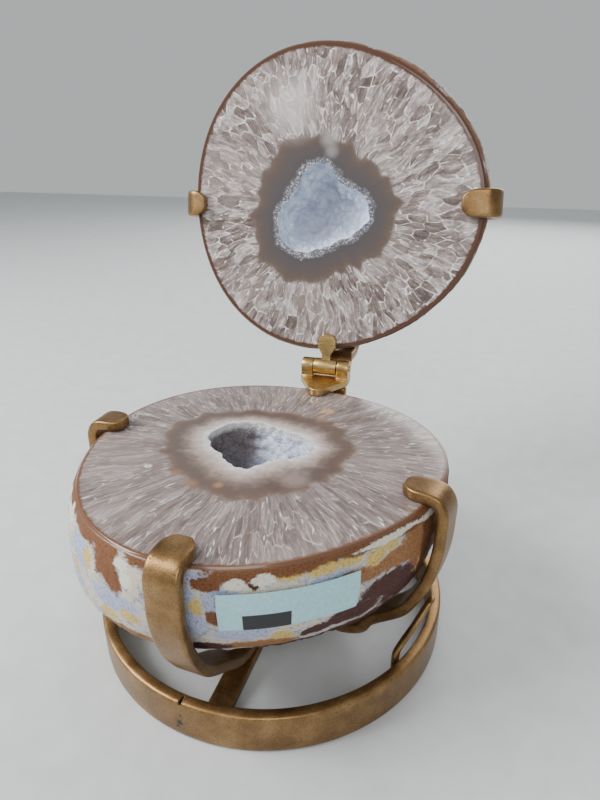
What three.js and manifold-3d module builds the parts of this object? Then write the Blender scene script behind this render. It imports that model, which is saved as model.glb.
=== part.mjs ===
// A round agate geode sawn into two halves, hung on a hinged strap-steel stand.
// The lower half sits in a cradle of four claw arms on a flat-bar ring.
// The upper half is a lid: three lid arms hold it, and it stands open on its hinge.
// Millimetres, +Z up. The origin is the centre of the ring, on the surface it stands on.
// +Y points to the hinge, +X to the right of a person who looks into the open geode.

import * as THREE from 'three';
import { mergeVertices } from 'three/addons/utils/BufferGeometryUtils.js';
import Module from 'manifold-3d';

const wasm = await Module();
wasm.setup();

// ---- Driving dimensions ----

const GAP = 0.35;

const RING_RADIUS = 70;
const RING_WALL = 4.5;
const RING_HEIGHT = 16;
const RING_EDGE = 1.5;

const BAR_WIDTH = 8.6;
const BAR_THICKNESS = 4;
const BAR_X = 0.8;

const STRAP_WIDTH = 12;
const STRAP_THICKNESS = 4.2;
const STRAP_EDGE = 1.1;
const STRAP_STEP = 3.4;
const ARM_LEVEL = BAR_THICKNESS + GAP + STRAP_THICKNESS / 2;

const LOWER_FACE = 75;
const FACE_GAP = 9.9;
const UPPER_FACE = LOWER_FACE + FACE_GAP;
const STONE_CENTRE = [-3, -1.8];
const STONE_SEGMENTS = 48;

const HINGE_X = 1.9;
const HINGE_Y = 73.4;
const HINGE_Z = LOWER_FACE + 7.9;
const LID_OPEN = 100.6;
const PIN_RADIUS = 1.25;
const BORE_RADIUS = PIN_RADIUS + GAP;
const OUTER_KNUCKLE = { radius: 3.8, length: 5.7 };
const MIDDLE_KNUCKLE = { radius: 3.95, length: 11 };
const BARREL_LENGTH = 2 * OUTER_KNUCKLE.length + MIDDLE_KNUCKLE.length + 2 * GAP;
const SPINE_X = 7;

// The lower stone swells out to the front left, and a little to the right near its foot.
// The upper stone swells out to the front right.
const LEFT_SWELL = { towards: 212, sharpness: 2.6,
  heights: [[0, 0], [4, 1.5], [10, 3], [22, 5.5], [34, 10.5], [46, 15.5], [56, 11.5], [62, 0]] };
const RIGHT_SWELL = { towards: -5, sharpness: 2.6,
  heights: [[0, 0], [20, 0], [34, 2], [46, 4], [56, 3], [62, 0]] };
const LID_SWELL = { towards: -50, sharpness: 1.5,
  heights: [[0, 0], [1.2, 0.6], [4, 2], [9, 3.1], [16, 3.2], [24, 1.8], [30, 0.4], [32, 0]] };

// Each stone outline is a circle with a two-lobed and a three-lobed wave: [height, degrees].
// Its profile is a list of [depth from the cut face, share of the outline's radius].
// side is -1 for the stone that hangs below its cut face and 1 for the one above it.
const LOWER_STONE = {
  face: LOWER_FACE,
  side: -1,
  radius: 68.1,
  oval: [1.55, 42],
  threeLobed: [2.1, 68],
  profile: [[0, 0.985], [1.2, 1], [6, 1.008], [14, 1.01], [22, 0.99], [30, 0.945], [38, 0.875],
    [46, 0.775], [52, 0.64], [57, 0.46], [60, 0.3], [62, 0]],
  swells: [LEFT_SWELL, RIGHT_SWELL],
};
const UPPER_STONE = {
  face: UPPER_FACE,
  side: 1,
  radius: 68.15,
  oval: [1.2, 66],
  threeLobed: [1.9, -5],
  profile: [[0, 0.985], [1.2, 1], [8, 1], [14, 0.985], [20, 0.92], [25.5, 0.79], [29.5, 0.56],
    [31.3, 0.32], [32, 0]],
  swells: [LID_SWELL],
};

// Each cavity's mouth is a circle with waves on it: [lobes, height, degrees].
const LOWER_CAVITY = { centre: [-5.3, 3.5], radius: 18.3, depth: 24,
  waves: [[1, 2.2, 143], [2, 2.1, -12], [3, 2.4, 65], [4, 1.1, 10]] };
const UPPER_CAVITY = { centre: [-5.4, 0.3], radius: 18.9, depth: 17,
  waves: [[1, 1.8, 114], [2, 1.5, -48], [3, 2.9, 44], [4, 1, -25]] };

// ---- Materials ----

function material(colour, roughness, metalness) {
  return new THREE.MeshStandardMaterial({ color: colour, roughness, metalness });
}

const agate = () => material(0xa09490, 0.25, 0);
const goldPaint = () => material(0x9a7440, 0.45, 0.8);
const brushedBrass = () => material(0xc8a05a, 0.35, 0.9);
const paper = () => material(0xa9cfd3, 0.7, 0);

// ---- Solids ----

function solidOf(geometry) {
  geometry.deleteAttribute('normal');
  geometry.deleteAttribute('uv');
  const merged = mergeVertices(geometry, 1e-4);
  return new wasm.Manifold(new wasm.Mesh({
    numProp: 3,
    vertProperties: new Float32Array(merged.attributes.position.array),
    triVerts: new Uint32Array(merged.index.array),
  }));
}

function geometryOf(solid) {
  const mesh = solid.getMesh();
  const geometry = new THREE.BufferGeometry();
  geometry.setAttribute('position', new THREE.BufferAttribute(mesh.vertProperties, 3));
  geometry.setIndex(new THREE.BufferAttribute(mesh.triVerts, 1));
  geometry.computeVertexNormals();
  return geometry;
}

function part(name, geometry, finish) {
  const mesh = new THREE.Mesh(geometry, finish);
  mesh.name = name;
  return mesh;
}

function box(low, high) {
  const size = high.map((value, axis) => value - low[axis]);
  const geometry = new THREE.BoxGeometry(...size);
  return geometry.translate(...low.map((value, axis) => value + size[axis] / 2));
}

function cylinderAlongX(radius, fromX, toX, y, z) {
  const geometry = new THREE.CylinderGeometry(radius, radius, toX - fromX, 28);
  return geometry.rotateZ(Math.PI / 2).translate((fromX + toX) / 2, y, z);
}

// Straight-line value between the pairs of a table.
function valueAt(table, x) {
  const next = table.findIndex(([at]) => at >= x);
  if (next <= 0) return next === 0 ? table[0][1] : table[table.length - 1][1];
  const [x0, y0] = table[next - 1];
  const [x1, y1] = table[next];
  return y0 + (y1 - y0) * (x - x0) / (x1 - x0);
}

// ---- Base ----

function barSection(width, height, edge) {
  const x = width / 2;
  const y = height / 2;
  return [[-x + edge, -y], [x - edge, -y], [x, -y + edge], [x, y - edge],
    [x - edge, y], [-x + edge, y], [-x, y - edge], [-x, -y + edge]];
}

function baseRing() {
  const middle = RING_RADIUS - RING_WALL / 2;
  const section = barSection(RING_WALL, RING_HEIGHT, RING_EDGE)
    .map(([x, y]) => new THREE.Vector2(middle + x, y + RING_HEIGHT / 2));
  section.push(section[0].clone());
  const geometry = new THREE.LatheGeometry(section, 72).rotateX(Math.PI / 2);
  return part('base_ring', geometry, goldPaint());
}

function baseCrossbar() {
  const corner = BAR_X + BAR_WIDTH / 2;
  const reach = Math.sqrt((RING_RADIUS - RING_WALL) ** 2 - corner ** 2) - GAP;
  const half = BAR_WIDTH / 2;
  const geometry = box([BAR_X - half, -reach, 0], [BAR_X + half, reach, BAR_THICKNESS]);
  return part('base_crossbar', geometry, goldPaint());
}

// ---- Straps ----

// Sweeps a flat bar along a smooth path. The bar's width stays along the side vector.
function strap(points, side, width, thickness, edge, step = STRAP_STEP) {
  const path = new THREE.CatmullRomCurve3(points, false, 'centripetal');
  path.computeFrenetFrames = (segments) => {
    const frames = { tangents: [], normals: [], binormals: [] };
    for (let i = 0; i <= segments; i += 1) {
      const tangent = path.getTangentAt(i / segments);
      const normal = new THREE.Vector3().crossVectors(side, tangent).normalize();
      frames.tangents.push(tangent);
      frames.normals.push(normal);
      frames.binormals.push(new THREE.Vector3().crossVectors(tangent, normal));
    }
    return frames;
  };
  const outline = barSection(thickness, width, edge).map(([x, y]) => new THREE.Vector2(x, y));
  const steps = Math.round(path.getLength() / step);
  return new THREE.ExtrudeGeometry(new THREE.Shape(outline), { steps, extrudePath: path });
}

// A strap in the upright plane y = 0, from a list of [distance from the centre, height].
function uprightStrap(profile) {
  const points = profile.map(([x, z]) => new THREE.Vector3(x, 0, z));
  return strap(points, new THREE.Vector3(0, 1, 0), STRAP_WIDTH, STRAP_THICKNESS, STRAP_EDGE);
}

// Rounds the free end of a hook, seen from above: keeps a half disc at its tip.
function roundTip(hook, tipX, face) {
  const half = STRAP_WIDTH / 2;
  const corner = new THREE.Shape();
  corner.moveTo(tipX + half, half + 1);
  corner.lineTo(tipX - 1, half + 1);
  corner.lineTo(tipX - 1, -half - 1);
  corner.lineTo(tipX + half, -half - 1);
  corner.lineTo(tipX + half, -half);
  corner.absarc(tipX + half, 0, half, -Math.PI / 2, Math.PI / 2, true);
  const height = 2 * STRAP_THICKNESS;
  const options = { depth: height, bevelEnabled: false, curveSegments: 16 };
  const cutter = new THREE.ExtrudeGeometry(corner, options).translate(0, 0, face - height / 2);
  return solidOf(hook).subtract(solidOf(cutter));
}

// ---- Stone surface ----

function wave(angle, lobes, height, peak) {
  return height * Math.cos(lobes * angle - THREE.MathUtils.degToRad(peak));
}

function outlineRadius(stone, angle) {
  return stone.radius + wave(angle, 2, ...stone.oval) + wave(angle, 3, ...stone.threeLobed);
}

function swell(stone, angle, depth) {
  return stone.swells.reduce((sum, { towards, sharpness, heights }) => {
    const facing = Math.max(0, Math.cos(angle - THREE.MathUtils.degToRad(towards)));
    return sum + valueAt(heights, depth) * facing ** sharpness;
  }, 0);
}

// The skin's distance from the stone's own centre.
function skinRadius(stone, angle, depth) {
  return valueAt(stone.profile, depth) * outlineRadius(stone, angle) + swell(stone, angle, depth);
}

// The skin's distance from the ring's axis, looking along an azimuth.
function skinReach(stone, azimuth, depth) {
  const [x, y] = STONE_CENTRE;
  return skinRadius(stone, azimuth, depth) + x * Math.cos(azimuth) + y * Math.sin(azimuth);
}

// A point outside the skin, at a distance along the normal of its upright profile.
function pointOutside(stone, azimuth, depth, offset) {
  const taper = skinReach(stone, azimuth, depth - 2) - skinReach(stone, azimuth, depth + 2);
  const normal = new THREE.Vector2(4, taper).normalize();
  return [skinReach(stone, azimuth, depth) + offset * normal.x,
    stone.face + stone.side * (depth + offset * normal.y)];
}

// A curve that keeps clear of a stone, for the middle of a strap: [depth, clearance] pairs.
function curveOutside(stone, azimuth, clearances, slack) {
  return clearances.map(([depth, clearance]) =>
    pointOutside(stone, azimuth, depth, clearance + slack + STRAP_THICKNESS / 2));
}

// ---- Lower cradle ----

// An arm leaves the centre level, then keeps a clearance from the skin.
const ARM_FOOT = [[30, ARM_LEVEL], [37.5, ARM_LEVEL + 1.2], [44, ARM_LEVEL + 4.8]];
const ARM_CLEARANCE = [[52, 3.4], [45, 1.8], [38, 1.2], [31, 1.1], [24, 1], [16, 1], [8, 1]];

// A claw arm curves up round the stone and hooks over its face.
function clawArm(name, { towards, start, slack, reach }) {
  const azimuth = THREE.MathUtils.degToRad(towards);
  const curve = curveOutside(LOWER_STONE, azimuth, ARM_CLEARANCE, slack);
  const side = curve[curve.length - 1][0];
  const tip = skinReach(LOWER_STONE, azimuth, 0) - reach;
  const level = LOWER_FACE + GAP + STRAP_THICKNESS / 2;
  const hook = [[side, level - 5.2], [side - 1.4, level - 1.9], [side - 4.4, level], [tip, level]];
  const profile = [[start, ARM_LEVEL], [start + 8, ARM_LEVEL], ...ARM_FOOT, ...curve, ...hook];
  const solid = roundTip(uprightStrap(profile), tip, level);
  return part(name, geometryOf(solid).rotateZ(azimuth), goldPaint());
}

// The rear arm has no hook of its own: it carries the hinge's lower leaf on its top end.
function rearHingeArm() {
  const curve = curveOutside(LOWER_STONE, Math.PI / 2, ARM_CLEARANCE, 2.4);
  const start = STRAP_WIDTH / 2 + 2 * GAP;
  const top = [HINGE_Y - 3, LOWER_FACE - GAP];
  const profile = [[start, ARM_LEVEL], [start + 8, ARM_LEVEL], ...ARM_FOOT, ...curve, top];
  const geometry = uprightStrap(profile).rotateZ(Math.PI / 2).translate(SPINE_X, 0, 0);
  return part('rear_hinge_arm', geometry, goldPaint());
}

// A small bar stands against the inside of the ring and leans under a side arm.
const STRUT = { width: 5, thickness: 2.8, footSide: -15.4, headSide: -2.4, depth: 36 };
const STRUT_CLEARANCE = 3.3;

function strut(name, degrees, slack) {
  const azimuth = THREE.MathUtils.degToRad(degrees);
  const { width, thickness, footSide, headSide, depth } = STRUT;
  const armBack = STRUT_CLEARANCE + slack + STRAP_THICKNESS + GAP + thickness / 2;
  const [headX, headZ] = pointOutside(LOWER_STONE, azimuth, depth, armBack);
  const footRadius = RING_RADIUS - RING_WALL - GAP - thickness / 2;
  const footX = Math.sqrt(footRadius ** 2 - footSide ** 2);
  const points = [[footX, footSide, 5], [footX, footSide, RING_HEIGHT - 1],
    [footX + 0.5, footSide + 1, RING_HEIGHT + 2.6],
    [(footX + headX) / 2 + 0.6, (footSide + headSide) / 2, (RING_HEIGHT + headZ) / 2 + 1.8],
    [headX, headSide, headZ]].map((point) => new THREE.Vector3(...point));
  const along = new THREE.Vector3(-footSide, footX, 0).normalize();
  const geometry = strap(points, along, width, thickness, 0.6, 2.6);
  return part(name, geometry.rotateZ(azimuth), goldPaint());
}

// ---- Stones ----

// Turns a stone's profile into a round body, then pushes it out to the stone's real outline.
function stoneBody(stone) {
  const profile = stone.profile.map(([depth, share]) =>
    new THREE.Vector2(share, stone.side * depth));
  profile.unshift(new THREE.Vector2(0, 0));
  if (stone.side < 0) profile.reverse();
  const geometry = new THREE.LatheGeometry(profile, STONE_SEGMENTS).rotateX(Math.PI / 2);
  const place = geometry.attributes.position;
  for (let i = 0; i < place.count; i += 1) {
    const share = Math.hypot(place.getX(i), place.getY(i));
    const angle = Math.atan2(place.getY(i), place.getX(i));
    const depth = Math.abs(place.getZ(i));
    const bulge = share > 0.01 ? swell(stone, angle, depth) : 0;
    const radius = share * outlineRadius(stone, angle) + bulge;
    place.setXYZ(i, STONE_CENTRE[0] + radius * Math.cos(angle),
      STONE_CENTRE[1] + radius * Math.sin(angle), stone.face + place.getZ(i));
  }
  return solidOf(geometry);
}

// The crystal-lined hollow in the middle of a cut face, as the bowl that is cut out for it.
function cavity(hollow, face) {
  const geometry = new THREE.SphereGeometry(1, 32, 20).rotateX(Math.PI / 2);
  const place = geometry.attributes.position;
  for (let i = 0; i < place.count; i += 1) {
    const angle = Math.atan2(place.getY(i), place.getX(i));
    const radius = hollow.waves.reduce((sum, waveOf) => sum + wave(angle, ...waveOf), hollow.radius);
    place.setXYZ(i, hollow.centre[0] + radius * place.getX(i),
      hollow.centre[1] + radius * place.getY(i), face + hollow.depth * place.getZ(i));
  }
  return solidOf(geometry);
}

function lowerHalf() {
  const solid = stoneBody(LOWER_STONE).subtract(cavity(LOWER_CAVITY, LOWER_FACE));
  return part('lower_geode_half', geometryOf(solid), agate());
}

function upperHalf() {
  const solid = stoneBody(UPPER_STONE).subtract(cavity(UPPER_CAVITY, UPPER_FACE));
  return part('upper_geode_half', geometryOf(solid), agate());
}

// ---- Hinge ----

function plate(outline, bottom, top) {
  const shape = new THREE.Shape(outline.map(([x, y]) => new THREE.Vector2(x, y)));
  const options = { depth: top - bottom, bevelEnabled: false };
  return solidOf(new THREE.ExtrudeGeometry(shape, options).translate(0, 0, bottom));
}

function halfDisc(x, y, radius, fromDegrees, toDegrees, steps = 10) {
  const points = [];
  for (let i = 0; i <= steps; i += 1) {
    const angle = THREE.MathUtils.degToRad(fromDegrees + (toDegrees - fromDegrees) * i / steps);
    points.push([x + radius * Math.cos(angle), y + radius * Math.sin(angle)]);
  }
  return points;
}

function hingeBore() {
  const half = BARREL_LENGTH / 2 + 1;
  return solidOf(cylinderAlongX(BORE_RADIUS, HINGE_X - half, HINGE_X + half, HINGE_Y, HINGE_Z));
}

// The lower leaf lies on the cut face: as wide as the barrel at the back, a round tongue in front.
const LOWER_LEAF = { bottom: LOWER_FACE + GAP, top: LOWER_FACE + 3.6, tip: 54.2, tipRadius: 4.3 };

function hingeLowerLeaf() {
  const half = BARREL_LENGTH / 2;
  const { bottom, top, tip, tipRadius } = LOWER_LEAF;
  const outline = [[HINGE_X + half, HINGE_Y - 4], [HINGE_X + half, HINGE_Y + 3],
    [HINGE_X - half, HINGE_Y + 3], [HINGE_X - half, HINGE_Y - 4],
    ...halfDisc(HINGE_X, tip + tipRadius, tipRadius, 200, 340)];
  const ends = [HINGE_X - half, HINGE_X + half - OUTER_KNUCKLE.length].map((x) => {
    const { radius, length } = OUTER_KNUCKLE;
    const knuckle = solidOf(cylinderAlongX(radius, x, x + length, HINGE_Y, HINGE_Z));
    const saddle = box([x, HINGE_Y - radius + 0.2, top - 0.5], [x + length, HINGE_Y + 3, HINGE_Z]);
    return knuckle.add(solidOf(saddle));
  });
  const solid = plate(outline, bottom, top).add(ends[0]).add(ends[1]).subtract(hingeBore());
  return part('hinge_lower_leaf', geometryOf(solid), brushedBrass());
}

function hingePin() {
  const half = BARREL_LENGTH / 2 + 0.4;
  const geometry = cylinderAlongX(PIN_RADIUS, HINGE_X - half, HINGE_X + half, HINGE_Y, HINGE_Z);
  return part('hinge_pin', geometry, brushedBrass());
}

// The upper leaf is a narrow neck on the middle knuckle that widens to an oval tongue.
const UPPER_LEAF = { bottom: UPPER_FACE - 3.8, top: UPPER_FACE - GAP, neck: 2.1, tongue: 4.3,
  shoulder: 65.3, tip: 57.6 };

function hingeUpperLeaf() {
  const { bottom, top, neck, tongue, shoulder, tip } = UPPER_LEAF;
  const { radius, length } = MIDDLE_KNUCKLE;
  const outline = [[HINGE_X + neck, HINGE_Y - radius / 2], [HINGE_X - neck, HINGE_Y - radius / 2],
    [HINGE_X - neck, shoulder + 2], [HINGE_X - tongue, shoulder - 1.5],
    ...halfDisc(HINGE_X, tip + tongue, tongue, 180, 360), [HINGE_X + tongue, shoulder - 1.5],
    [HINGE_X + neck, shoulder + 2]];
  const barrel = cylinderAlongX(radius, HINGE_X - length / 2, HINGE_X + length / 2, HINGE_Y, HINGE_Z);
  const solid = solidOf(barrel).add(plate(outline, bottom, top)).subtract(hingeBore());
  return part('hinge_upper_leaf', geometryOf(solid), brushedBrass());
}

// ---- Lid arms ----

const DOME_CLEARANCE = [[30.4, 0.8], [28, 0.9], [24, 0.9], [19, 0.7], [13, 0.6], [6, 0.6]];
const LID_LEVEL = UPPER_FACE + 32 + 0.8 + STRAP_THICKNESS / 2;

// A side arm follows the dome from the middle and hooks under the upper face.
function lidClawArm(name, { towards, start, slack, reach }) {
  const azimuth = THREE.MathUtils.degToRad(towards);
  const curve = curveOutside(UPPER_STONE, azimuth, DOME_CLEARANCE, slack);
  const side = curve[curve.length - 1][0];
  const tip = skinReach(UPPER_STONE, azimuth, 0) - reach;
  const level = UPPER_FACE - GAP - STRAP_THICKNESS / 2;
  const hook = [[side, level + 5.2], [side - 1.4, level + 1.9], [side - 4.4, level], [tip, level]];
  const profile = [[start, LID_LEVEL], [start + 7, LID_LEVEL], ...curve, ...hook];
  const solid = roundTip(uprightStrap(profile), tip, level);
  return part(name, geometryOf(solid).rotateZ(azimuth), goldPaint());
}

// The spine arm starts on the middle knuckle and runs over the dome past its centre.
function lidSpineArm() {
  const curve = curveOutside(UPPER_STONE, Math.PI / 2, DOME_CLEARANCE, 0.2);
  const foot = [HINGE_Y - 1.2, HINGE_Z + MIDDLE_KNUCKLE.radius + 3 * GAP];
  const profile = [[-9, LID_LEVEL], [0, LID_LEVEL], [9, LID_LEVEL], ...curve, foot];
  const geometry = uprightStrap(profile).rotateZ(Math.PI / 2).translate(SPINE_X, 0, 0);
  return part('lid_spine_arm', geometry, goldPaint());
}

// ---- Shop label ----

// A blank paper label stuck on the front right of the lower stone: from and to in degrees,
// and the heights of its top and bottom edges at each end.
const LABEL = { from: -79.5, to: -41.5, left: [67, 52.4], right: [66, 50.6], thickness: 0.4 };

function shopLabel() {
  const columns = 16;
  const rows = 5;
  const layers = [0, 1].map((layer) => GAP + layer * LABEL.thickness);
  const geometry = new THREE.BoxGeometry(1, 1, 1, columns, rows, 1);
  const place = geometry.attributes.position;
  for (let i = 0; i < place.count; i += 1) {
    const along = place.getX(i) + 0.5;
    const level = place.getY(i) + 0.5;
    const angle = THREE.MathUtils.degToRad(THREE.MathUtils.lerp(LABEL.from, LABEL.to, along));
    const low = THREE.MathUtils.lerp(LABEL.left[1], LABEL.right[1], along);
    const high = THREE.MathUtils.lerp(LABEL.left[0], LABEL.right[0], along);
    const height = THREE.MathUtils.lerp(low, high, level);
    const skin = skinRadius(LOWER_STONE, angle, LOWER_FACE - height);
    const radius = skin + layers[place.getZ(i) > 0 ? 1 : 0];
    place.setXYZ(i, STONE_CENTRE[0] + radius * Math.cos(angle),
      STONE_CENTRE[1] + radius * Math.sin(angle), height);
  }
  return part('shop_label', geometryOf(solidOf(geometry)), paper());
}

// ---- Assembly ----

// The lid is modelled closed and turned back about the hinge axis.
function openLid(pieces) {
  const closed = new THREE.Group();
  closed.position.set(0, -HINGE_Y, -HINGE_Z);
  closed.add(...pieces);
  const lid = new THREE.Group();
  lid.position.set(0, HINGE_Y, HINGE_Z);
  lid.rotation.x = -THREE.MathUtils.degToRad(LID_OPEN);
  lid.add(closed);
  return lid;
}

const spineHalf = STRAP_WIDTH / 2 + GAP;
const leftStart = spineHalf - SPINE_X;
const rightStart = spineHalf + SPINE_X + 0.4;
const geode = new THREE.Group();
geode.add(
  baseRing(),
  baseCrossbar(),
  clawArm('front_claw_arm', { towards: -92.7, start: 8.4, slack: 0.4, reach: 8.3 }),
  clawArm('right_claw_arm', { towards: -12.5, start: 1.9, slack: 1.4, reach: 9.5 }),
  clawArm('left_claw_arm', { towards: 180, start: 0.4, slack: 0.4, reach: 7.5 }),
  rearHingeArm(),
  strut('right_strut', -12, 1.6),
  strut('left_strut', 180, 1.9),
  lowerHalf(),
  shopLabel(),
  hingeLowerLeaf(),
  hingePin(),
  openLid([
    upperHalf(),
    hingeUpperLeaf(),
    lidSpineArm(),
    lidClawArm('lid_left_claw_arm', { towards: 180, start: leftStart, slack: 0.6, reach: 5.8 }),
    lidClawArm('lid_right_claw_arm', { towards: -3.5, start: rightStart, slack: 0.3, reach: 9.5 }),
  ]),
);

export default geode;
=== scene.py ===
# %% [markdown]
# # An agate geode in two halves, on a hinged stand
#
# A geode is a hollow ball of agate, lined with quartz crystals. This one is sawn in two and both
# cut faces are polished. The lower half sits in a cradle of gold painted straps on a ring, and the
# upper half is its lid. The lesson builds each piece the way it would be made by hand: the stones
# are pressed out of a ball, the straps are drawn along their route and thickened, and the brass
# hinge is a copy of the frame's own shape with its edges broken. All sizes are in millimetres.

# %% Load the frame
import math

import bpy
import numpy as np
from mathutils import Matrix, Vector


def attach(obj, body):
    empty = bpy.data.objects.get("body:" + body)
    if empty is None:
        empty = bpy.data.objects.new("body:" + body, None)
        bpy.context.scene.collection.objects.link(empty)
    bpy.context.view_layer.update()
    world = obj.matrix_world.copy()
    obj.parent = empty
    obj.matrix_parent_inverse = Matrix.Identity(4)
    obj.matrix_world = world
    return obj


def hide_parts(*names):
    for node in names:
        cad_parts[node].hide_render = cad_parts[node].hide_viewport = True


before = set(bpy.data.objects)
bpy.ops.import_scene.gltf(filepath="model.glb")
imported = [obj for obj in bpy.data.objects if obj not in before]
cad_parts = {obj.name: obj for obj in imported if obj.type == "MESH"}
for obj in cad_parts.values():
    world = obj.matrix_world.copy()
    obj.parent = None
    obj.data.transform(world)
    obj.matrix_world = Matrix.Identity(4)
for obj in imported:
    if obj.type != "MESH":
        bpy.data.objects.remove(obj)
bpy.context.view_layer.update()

MM = 0.001
print("frame pieces:", len(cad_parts))

# %% [markdown]
# ## Floor, light and camera
#
# The stand is looked at from above its front right, with the lid open. A pale floor and three soft
# lamps are enough for a studio picture: the brightest on the left like a window, a dimmer one in
# front, and a wide one at the back that the polished faces reflect.

# %% Colours
def colour(code):
    """Turns an sRGB hex code into the linear colour that a shader takes."""
    parts = [int(code[i:i + 2], 16) / 255 for i in (1, 3, 5)]
    linear = [p / 12.92 if p <= 0.04045 else ((p + 0.055) / 1.055) ** 2.4 for p in parts]
    return (*linear, 1)


def deselect():
    """Leaves nothing selected, so that an operator acts only on what comes next."""
    for thing in bpy.context.selected_objects:
        thing.select_set(False)


# %% Node helper
def add(tree, kind, links=None, stops=None, **settings):
    """Adds a node, sets its properties, and sets or links its inputs."""
    node = tree.nodes.new(kind)
    for name, value in settings.items():
        setattr(node, name, value)
    for name, value in (links or {}).items():
        if isinstance(value, bpy.types.NodeSocket):
            tree.links.new(value, node.inputs[name])
        else:
            node.inputs[name].default_value = value
    if stops:
        ramp = node.color_ramp
        while len(ramp.elements) < len(stops):
            ramp.elements.new(1)
        for element, (place, code) in zip(ramp.elements, stops):
            element.position = place
            element.color = colour(code)
    return node


def new_material(name):
    """A material with an empty principled shader, ready for nodes."""
    made = bpy.data.materials.new(name)
    made.use_nodes = True
    return made, made.node_tree, made.node_tree.nodes["Principled BSDF"]


# %% Floor
deselect()
bpy.ops.mesh.primitive_plane_add(size=3)
floor = bpy.context.object
floor.name = "studio_floor"
matt_paint, tree, shader = new_material("matt_floor_paint")
grain = add(tree, "ShaderNodeTexNoise", {"Scale": 240.0, "Detail": 3.0})
tone = add(tree, "ShaderNodeValToRGB", {"Fac": grain.outputs["Fac"]},
           [(0.3, "#c3c6c7"), (0.7, "#cbcecf")])
tree.links.new(tone.outputs["Color"], shader.inputs["Base Color"])
shader.inputs["Roughness"].default_value = 0.6
floor.data.materials.append(matt_paint)
print("floor ready")

# %% Lamps
def soft_lamp(name, place, size, power, aim=(0, 0, 0.08)):
    """A square lamp that faces the stand."""
    lamp = bpy.data.lights.new(name, "AREA")
    lamp.size = size
    lamp.energy = power
    holder = bpy.data.objects.new(name, lamp)
    holder.location = place
    facing = Vector(aim) - Vector(place)
    holder.rotation_euler = facing.to_track_quat("-Z", "Y").to_euler()
    bpy.context.scene.collection.objects.link(holder)


soft_lamp("window_lamp", (-0.8, -0.35, 0.75), 0.6, 19)
soft_lamp("front_lamp", (0.25, -0.9, 0.75), 0.6, 5)
soft_lamp("rear_lamp", (0.1, 1.0, 0.6), 0.9, 9)
room = bpy.data.worlds.new("pale_room")
room.use_nodes = True
room.node_tree.nodes["Background"].inputs["Color"].default_value = colour("#d5d9da")
room.node_tree.nodes["Background"].inputs["Strength"].default_value = 0.75
bpy.context.scene.world = room

# %% Camera
heading, pitch, roll = math.radians(18.19), math.radians(24.42), math.radians(-0.315)
ahead = Vector((-math.sin(heading) * math.cos(pitch), math.cos(heading) * math.cos(pitch),
                -math.sin(pitch)))
level_right = Vector((math.cos(heading), math.sin(heading), 0))
level_up = level_right.cross(ahead)
right = math.cos(roll) * level_right + math.sin(roll) * level_up
up = math.cos(roll) * level_up - math.sin(roll) * level_right
camera = bpy.data.objects.new("camera", bpy.data.cameras.new("camera"))
place = Matrix((right, up, -ahead)).transposed().to_4x4()
place.translation = Vector((0.0746, -0.1888, 0.1885))
camera.matrix_world = place
camera.data.sensor_fit = "VERTICAL"
camera.data.sensor_height = 36
camera.data.lens = 27
bpy.context.scene.collection.objects.link(camera)
bpy.context.scene.camera = camera
print("camera", round(camera.location.length / MM), "mm from the middle of the ring")

# %% [markdown]
# ## The shape of the stones
#
# A geode is round but never true: its outline has two and three soft lobes, and it swells out
# where it lay in the rock. Each stone's outline is a circle with waves on it, its profile is a
# list of depths below the cut face, and each swelling is a bump that fades away round the stone.

# %% Driving sizes
LOWER_FACE = 75
UPPER_FACE = 84.9
STONE_CENTRE = np.array([-3, -1.8])
HINGE = Vector((1.9, 73.4, 82.9))
LID_OPEN = math.radians(100.6)

lower_stone = {
    "face": LOWER_FACE, "side": -1, "radius": 68.1, "waves": [(2, 1.55, 42), (3, 2.1, 68)],
    "profile": [(0, 0.985), (1.2, 1), (6, 1.008), (14, 1.01), (22, 0.99), (30, 0.945),
                (38, 0.875), (46, 0.775), (52, 0.64), (57, 0.46), (60, 0.3), (62, 0)],
    "swells": [(212, 2.6, [(0, 0), (4, 1.5), (10, 3), (22, 5.5), (34, 10.5), (46, 15.5),
                           (56, 11.5), (62, 0)]),
               (-5, 2.6, [(0, 0), (20, 0), (34, 2), (46, 4), (56, 3), (62, 0)])],
    "hollow": {"centre": (-5.3, 3.5), "radius": 18.3, "depth": 24,
               "waves": [(1, 2.2, 143), (2, 2.1, -12), (3, 2.4, 65), (4, 1.1, 10)]},
    "star": {"centre": (-8.7, -1.3), "radius": 36.3, "teeth": 23, "tooth": 1.1,
             "waves": [(1, 3.6, 46), (2, 2.0, -19), (3, 2.0, 117)]},
}
upper_stone = {
    "face": UPPER_FACE, "side": 1, "radius": 68.15, "waves": [(2, 1.2, 66), (3, 1.9, -5)],
    "profile": [(0, 0.985), (1.2, 1), (8, 1), (14, 0.985), (20, 0.92), (25.5, 0.79),
                (29.5, 0.56), (31.3, 0.32), (32, 0)],
    "swells": [(-50, 1.5, [(0, 0), (1.2, 0.6), (4, 2), (9, 3.1), (16, 3.2), (24, 1.8),
                           (30, 0.4), (32, 0)])],
    "hollow": {"centre": (-5.4, 0.3), "radius": 18.9, "depth": 17,
               "waves": [(1, 1.8, 114), (2, 1.5, -48), (3, 2.9, 44), (4, 1, -25)]},
    "star": {"centre": (-4.5, 1.2), "radius": 33.4, "teeth": 15, "tooth": 1.7,
             "waves": [(1, 2.1, 162), (2, 1.4, -18), (3, 2.4, 18)]},
}

# %% Outline, profile and swellings
def wavy(shape, angle):
    """The radius of a wavy circle: each wave has its lobes, its height and its peak in degrees."""
    return shape["radius"] + sum(height * np.cos(lobes * angle - math.radians(peak))
                                 for lobes, height, peak in shape["waves"])


def value_at(pairs, x):
    """Straight-line value between the pairs of a list."""
    return np.interp(x, *zip(*pairs))


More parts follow.
